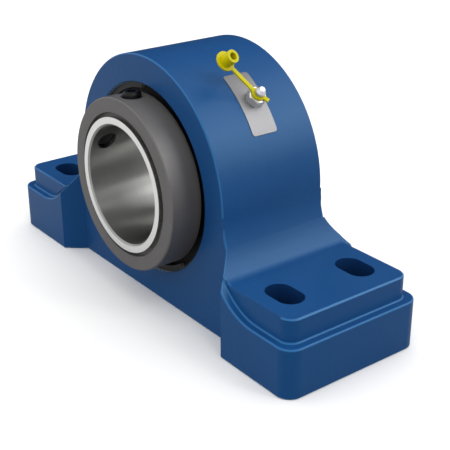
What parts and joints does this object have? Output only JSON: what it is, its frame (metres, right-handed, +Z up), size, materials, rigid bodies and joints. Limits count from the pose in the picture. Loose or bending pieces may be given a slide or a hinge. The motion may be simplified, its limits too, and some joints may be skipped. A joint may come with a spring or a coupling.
{
  "type": "pillow block bearing",
  "caption": "Cast pillow block roller bearing with slotted feet, an extended inner ring, a set screw collar and a capped grease nipple.",
  "frame": {"origin": "middle of the base's underside, under the middle of the arch", "axes": "+Z up from the base, +X along the base's length, the shaft runs along Y and the collar faces -Y"},
  "size_m": [0.412, 0.146, 0.2268],
  "materials": {
    "blue_paint": "satin",
    "bearing_steel": "ground",
    "ground_steel": "ground",
    "brass": "machined",
    "black_oxide_steel": "phosphated",
    "black_screw_steel": "black oxide",
    "seal_rubber": "matt",
    "black_spring_steel": "black oxide",
    "plate_aluminium": "satin",
    "zinc_plated_steel": "zinc plated",
    "yellow_plastic": "glossy"
  },
  "bodies": {
    "housing_unit": {"housing": "blue_paint", "outer_ring": "bearing_steel", "front_seal": "seal_rubber", "back_seal": "seal_rubber", "front_seal_clip": "black_spring_steel", "back_seal_clip": "black_spring_steel", "bearing_clip": "black_spring_steel", "label_plate": "plate_aluminium", "grease_nipple": "zinc_plated_steel"},
    "aligning_core": {"guide_ring": "bearing_steel"},
    "shaft_ring": {"inner_ring": "ground_steel", "locking_collar": "black_oxide_steel", "collar_set_screws": "black_screw_steel"},
    "front_cage_body": {"front_cage": "brass"},
    "back_cage_body": {"back_cage": "brass"},
    "ball_check": {"nipple_ball": "bearing_steel", "nipple_spring": "bearing_steel"},
    "cap": {"nipple_cap": "yellow_plastic"},
    "front_roller_1_body": {"front_roller_1": "bearing_steel"},
    "front_roller_2_body": {"front_roller_2": "bearing_steel"},
    "front_roller_3_body": {"front_roller_3": "bearing_steel"},
    "front_roller_4_body": {"front_roller_4": "bearing_steel"},
    "front_roller_5_body": {"front_roller_5": "bearing_steel"},
    "front_roller_6_body": {"front_roller_6": "bearing_steel"},
    "front_roller_7_body": {"front_roller_7": "bearing_steel"},
    "front_roller_8_body": {"front_roller_8": "bearing_steel"},
    "front_roller_9_body": {"front_roller_9": "bearing_steel"},
    "front_roller_10_body": {"front_roller_10": "bearing_steel"},
    "front_roller_11_body": {"front_roller_11": "bearing_steel"},
    "front_roller_12_body": {"front_roller_12": "bearing_steel"},
    "front_roller_13_body": {"front_roller_13": "bearing_steel"},
    "front_roller_14_body": {"front_roller_14": "bearing_steel"},
    "front_roller_15_body": {"front_roller_15": "bearing_steel"},
    "front_roller_16_body": {"front_roller_16": "bearing_steel"},
    "back_roller_1_body": {"back_roller_1": "bearing_steel"},
    "back_roller_2_body": {"back_roller_2": "bearing_steel"},
    "back_roller_3_body": {"back_roller_3": "bearing_steel"},
    "back_roller_4_body": {"back_roller_4": "bearing_steel"},
    "back_roller_5_body": {"back_roller_5": "bearing_steel"},
    "back_roller_6_body": {"back_roller_6": "bearing_steel"},
    "back_roller_7_body": {"back_roller_7": "bearing_steel"},
    "back_roller_8_body": {"back_roller_8": "bearing_steel"},
    "back_roller_9_body": {"back_roller_9": "bearing_steel"},
    "back_roller_10_body": {"back_roller_10": "bearing_steel"},
    "back_roller_11_body": {"back_roller_11": "bearing_steel"},
    "back_roller_12_body": {"back_roller_12": "bearing_steel"},
    "back_roller_13_body": {"back_roller_13": "bearing_steel"},
    "back_roller_14_body": {"back_roller_14": "bearing_steel"},
    "back_roller_15_body": {"back_roller_15": "bearing_steel"},
    "back_roller_16_body": {"back_roller_16": "bearing_steel"}
  },
  "joints": [
    {"name": "align_tilt", "type": "hinge", "parent": "housing_unit", "child": "aligning_core", "pos_m": [0, 0, 0.10795], "axis": [1, 0, 0], "range_deg": [-1.5, 1.5]},
    {"name": "inner_spin", "type": "hinge", "parent": "aligning_core", "child": "shaft_ring", "pos_m": [0, 0, 0.10795], "axis": [0, 1, 0], "continuous": true},
    {"name": "front_cage_spin", "type": "hinge", "parent": "aligning_core", "child": "front_cage_body", "pos_m": [0, 0, 0.10795], "axis": [0, 1, 0], "continuous": true},
    {"name": "back_cage_spin", "type": "hinge", "parent": "aligning_core", "child": "back_cage_body", "pos_m": [0, 0, 0.10795], "axis": [0, 1, 0], "continuous": true},
    {"name": "front_roller_1_spin", "type": "hinge", "parent": "front_cage_body", "child": "front_roller_1_body", "pos_m": [0.06981, -0.01294, 0.10795], "axis": [0.1822, 0.9833, 0], "continuous": true},
    {"name": "front_roller_2_spin", "type": "hinge", "parent": "front_cage_body", "child": "front_roller_2_body", "pos_m": [0.0645, -0.01294, 0.13467], "axis": [0.1684, 0.9833, 0.0697], "continuous": true},
    {"name": "front_roller_3_spin", "type": "hinge", "parent": "front_cage_body", "child": "front_roller_3_body", "pos_m": [0.04936, -0.01294, 0.15731], "axis": [0.1289, 0.9833, 0.1289], "continuous": true},
    {"name": "front_roller_4_spin", "type": "hinge", "parent": "front_cage_body", "child": "front_roller_4_body", "pos_m": [0.02672, -0.01294, 0.17245], "axis": [0.0697, 0.9833, 0.1684], "continuous": true},
    {"name": "front_roller_5_spin", "type": "hinge", "parent": "front_cage_body", "child": "front_roller_5_body", "pos_m": [0, -0.01294, 0.17776], "axis": [0, 0.9833, 0.1822], "continuous": true},
    {"name": "front_roller_6_spin", "type": "hinge", "parent": "front_cage_body", "child": "front_roller_6_body", "pos_m": [-0.02672, -0.01294, 0.17245], "axis": [-0.0697, 0.9833, 0.1684], "continuous": true},
    {"name": "front_roller_7_spin", "type": "hinge", "parent": "front_cage_body", "child": "front_roller_7_body", "pos_m": [-0.04936, -0.01294, 0.15731], "axis": [-0.1289, 0.9833, 0.1289], "continuous": true},
    {"name": "front_roller_8_spin", "type": "hinge", "parent": "front_cage_body", "child": "front_roller_8_body", "pos_m": [-0.0645, -0.01294, 0.13467], "axis": [-0.1684, 0.9833, 0.0697], "continuous": true},
    {"name": "front_roller_9_spin", "type": "hinge", "parent": "front_cage_body", "child": "front_roller_9_body", "pos_m": [-0.06981, -0.01294, 0.10795], "axis": [-0.1822, 0.9833, 0], "continuous": true},
    {"name": "front_roller_10_spin", "type": "hinge", "parent": "front_cage_body", "child": "front_roller_10_body", "pos_m": [-0.0645, -0.01294, 0.08123], "axis": [-0.1684, 0.9833, -0.0697], "continuous": true},
    {"name": "front_roller_11_spin", "type": "hinge", "parent": "front_cage_body", "child": "front_roller_11_body", "pos_m": [-0.04936, -0.01294, 0.05859], "axis": [-0.1289, 0.9833, -0.1289], "continuous": true},
    {"name": "front_roller_12_spin", "type": "hinge", "parent": "front_cage_body", "child": "front_roller_12_body", "pos_m": [-0.02672, -0.01294, 0.04345], "axis": [-0.0697, 0.9833, -0.1684], "continuous": true},
    {"name": "front_roller_13_spin", "type": "hinge", "parent": "front_cage_body", "child": "front_roller_13_body", "pos_m": [0, -0.01294, 0.03814], "axis": [0, 0.9833, -0.1822], "continuous": true},
    {"name": "front_roller_14_spin", "type": "hinge", "parent": "front_cage_body", "child": "front_roller_14_body", "pos_m": [0.02672, -0.01294, 0.04345], "axis": [0.0697, 0.9833, -0.1684], "continuous": true},
    {"name": "front_roller_15_spin", "type": "hinge", "parent": "front_cage_body", "child": "front_roller_15_body", "pos_m": [0.04936, -0.01294, 0.05859], "axis": [0.1289, 0.9833, -0.1289], "continuous": true},
    {"name": "front_roller_16_spin", "type": "hinge", "parent": "front_cage_body", "child": "front_roller_16_body", "pos_m": [0.0645, -0.01294, 0.08123], "axis": [0.1684, 0.9833, -0.0697], "continuous": true},
    {"name": "back_roller_1_spin", "type": "hinge", "parent": "back_cage_body", "child": "back_roller_1_body", "pos_m": [0.06847, 0.01294, 0.12157], "axis": [-0.1787, 0.9833, -0.0356], "continuous": true},
    {"name": "back_roller_2_spin", "type": "hinge", "parent": "back_cage_body", "child": "back_roller_2_body", "pos_m": [0.05805, 0.01294, 0.14674], "axis": [-0.1515, 0.9833, -0.1012], "continuous": true},
    {"name": "back_roller_3_spin", "type": "hinge", "parent": "back_cage_body", "child": "back_roller_3_body", "pos_m": [0.03879, 0.01294, 0.166], "axis": [-0.1012, 0.9833, -0.1515], "continuous": true},
    {"name": "back_roller_4_spin", "type": "hinge", "parent": "back_cage_body", "child": "back_roller_4_body", "pos_m": [0.01362, 0.01294, 0.17642], "axis": [-0.0356, 0.9833, -0.1787], "continuous": true},
    {"name": "back_roller_5_spin", "type": "hinge", "parent": "back_cage_body", "child": "back_roller_5_body", "pos_m": [-0.01362, 0.01294, 0.17642], "axis": [0.0356, 0.9833, -0.1787], "continuous": true},
    {"name": "back_roller_6_spin", "type": "hinge", "parent": "back_cage_body", "child": "back_roller_6_body", "pos_m": [-0.03879, 0.01294, 0.166], "axis": [0.1012, 0.9833, -0.1515], "continuous": true},
    {"name": "back_roller_7_spin", "type": "hinge", "parent": "back_cage_body", "child": "back_roller_7_body", "pos_m": [-0.05805, 0.01294, 0.14674], "axis": [0.1515, 0.9833, -0.1012], "continuous": true},
    {"name": "back_roller_8_spin", "type": "hinge", "parent": "back_cage_body", "child": "back_roller_8_body", "pos_m": [-0.06847, 0.01294, 0.12157], "axis": [0.1787, 0.9833, -0.0356], "continuous": true},
    {"name": "back_roller_9_spin", "type": "hinge", "parent": "back_cage_body", "child": "back_roller_9_body", "pos_m": [-0.06847, 0.01294, 0.09433], "axis": [0.1787, 0.9833, 0.0356], "continuous": true},
    {"name": "back_roller_10_spin", "type": "hinge", "parent": "back_cage_body", "child": "back_roller_10_body", "pos_m": [-0.05805, 0.01294, 0.06917], "axis": [0.1515, 0.9833, 0.1012], "continuous": true},
    {"name": "back_roller_11_spin", "type": "hinge", "parent": "back_cage_body", "child": "back_roller_11_body", "pos_m": [-0.03879, 0.01294, 0.0499], "axis": [0.1012, 0.9833, 0.1515], "continuous": true},
    {"name": "back_roller_12_spin", "type": "hinge", "parent": "back_cage_body", "child": "back_roller_12_body", "pos_m": [-0.01362, 0.01294, 0.03948], "axis": [0.0356, 0.9833, 0.1787], "continuous": true},
    {"name": "back_roller_13_spin", "type": "hinge", "parent": "back_cage_body", "child": "back_roller_13_body", "pos_m": [0.01362, 0.01294, 0.03948], "axis": [-0.0356, 0.9833, 0.1787], "continuous": true},
    {"name": "back_roller_14_spin", "type": "hinge", "parent": "back_cage_body", "child": "back_roller_14_body", "pos_m": [0.03879, 0.01294, 0.0499], "axis": [-0.1012, 0.9833, 0.1515], "continuous": true},
    {"name": "back_roller_15_spin", "type": "hinge", "parent": "back_cage_body", "child": "back_roller_15_body", "pos_m": [0.05805, 0.01294, 0.06917], "axis": [-0.1515, 0.9833, 0.1012], "continuous": true},
    {"name": "back_roller_16_spin", "type": "hinge", "parent": "back_cage_body", "child": "back_roller_16_body", "pos_m": [0.06847, 0.01294, 0.09433], "axis": [-0.1787, 0.9833, 0.0356], "continuous": true},
    {"name": "ball_press", "type": "slide", "parent": "housing_unit", "child": "ball_check", "axis": [-0.6934, 0, -0.7206], "range_m": [0, 0.0008], "stiffness_N_per_m": 20},
    {"name": "cap_swivel", "type": "hinge", "parent": "housing_unit", "child": "cap", "pos_m": [0.07336, 0.005, 0.18418], "axis": [0.6934, 0, 0.7206], "continuous": true}
  ],
  "couplings": [
    {"joint": "front_cage_spin", "follows": "inner_spin", "ratio": 0.4225},
    {"joint": "back_cage_spin", "follows": "inner_spin", "ratio": 0.4225},
    {"joint": "front_roller_1_spin", "follows": "inner_spin", "ratio": -3.0973},
    {"joint": "front_roller_2_spin", "follows": "inner_spin", "ratio": -3.0973},
    {"joint": "front_roller_3_spin", "follows": "inner_spin", "ratio": -3.0973},
    {"joint": "front_roller_4_spin", "follows": "inner_spin", "ratio": -3.0973},
    {"joint": "front_roller_5_spin", "follows": "inner_spin", "ratio": -3.0973},
    {"joint": "front_roller_6_spin", "follows": "inner_spin", "ratio": -3.0973},
    {"joint": "front_roller_7_spin", "follows": "inner_spin", "ratio": -3.0973},
    {"joint": "front_roller_8_spin", "follows": "inner_spin", "ratio": -3.0973},
    {"joint": "front_roller_9_spin", "follows": "inner_spin", "ratio": -3.0973},
    {"joint": "front_roller_10_spin", "follows": "inner_spin", "ratio": -3.0973},
    {"joint": "front_roller_11_spin", "follows": "inner_spin", "ratio": -3.0973},
    {"joint": "front_roller_12_spin", "follows": "inner_spin", "ratio": -3.0973},
    {"joint": "front_roller_13_spin", "follows": "inner_spin", "ratio": -3.0973},
    {"joint": "front_roller_14_spin", "follows": "inner_spin", "ratio": -3.0973},
    {"joint": "front_roller_15_spin", "follows": "inner_spin", "ratio": -3.0973},
    {"joint": "front_roller_16_spin", "follows": "inner_spin", "ratio": -3.0973},
    {"joint": "back_roller_1_spin", "follows": "inner_spin", "ratio": -3.0973},
    {"joint": "back_roller_2_spin", "follows": "inner_spin", "ratio": -3.0973},
    {"joint": "back_roller_3_spin", "follows": "inner_spin", "ratio": -3.0973},
    {"joint": "back_roller_4_spin", "follows": "inner_spin", "ratio": -3.0973},
    {"joint": "back_roller_5_spin", "follows": "inner_spin", "ratio": -3.0973},
    {"joint": "back_roller_6_spin", "follows": "inner_spin", "ratio": -3.0973},
    {"joint": "back_roller_7_spin", "follows": "inner_spin", "ratio": -3.0973},
    {"joint": "back_roller_8_spin", "follows": "inner_spin", "ratio": -3.0973},
    {"joint": "back_roller_9_spin", "follows": "inner_spin", "ratio": -3.0973},
    {"joint": "back_roller_10_spin", "follows": "inner_spin", "ratio": -3.0973},
    {"joint": "back_roller_11_spin", "follows": "inner_spin", "ratio": -3.0973},
    {"joint": "back_roller_12_spin", "follows": "inner_spin", "ratio": -3.0973},
    {"joint": "back_roller_13_spin", "follows": "inner_spin", "ratio": -3.0973},
    {"joint": "back_roller_14_spin", "follows": "inner_spin", "ratio": -3.0973},
    {"joint": "back_roller_15_spin", "follows": "inner_spin", "ratio": -3.0973},
    {"joint": "back_roller_16_spin", "follows": "inner_spin", "ratio": -3.0973}
  ]
}
